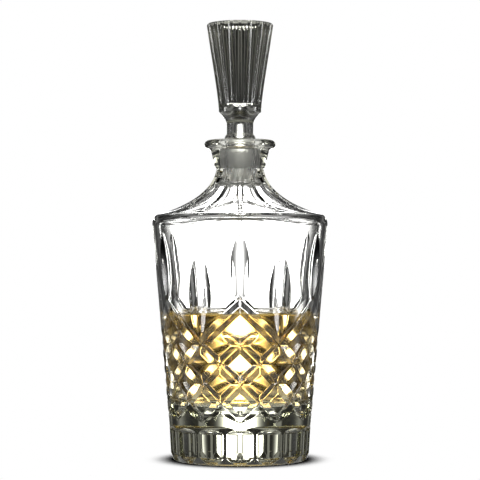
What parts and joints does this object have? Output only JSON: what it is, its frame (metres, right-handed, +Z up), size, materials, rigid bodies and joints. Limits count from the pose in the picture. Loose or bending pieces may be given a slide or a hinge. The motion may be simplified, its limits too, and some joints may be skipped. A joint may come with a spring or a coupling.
{
  "type": "decanter",
  "caption": "tapered cut crystal spirit decanter with leaf and diamond cutting, a fluted heel, a panelled neck, a ground-in fluted glass stopper that lifts out, and amber spirit inside",
  "frame": {"origin": "middle of the foot, on the surface that the decanter stands on", "axes": "+Z up through the neck, -Y the front, which has a tall leaf cut in its middle"},
  "size_m": [0.1098, 0.1098, 0.2717],
  "materials": {
    "clear_crystal": "wheel-cut and polished clear crystal, ground inside the neck",
    "smoked_crystal": "polished fluted crystal with a faint grey tint, its plug ground satin",
    "amber_spirit": "clear pale amber liquid with a flat surface"
  },
  "bodies": {
    "decanter": {"decanter_body": "clear_crystal", "spirit_fill": "amber_spirit"},
    "stopper": {"stopper": "smoked_crystal"}
  },
  "joints": [
    {"name": "stopper_lift", "type": "slide", "parent": "decanter", "child": "stopper", "axis": [0, 0, 1], "range_m": [0, 0.06]}
  ]
}
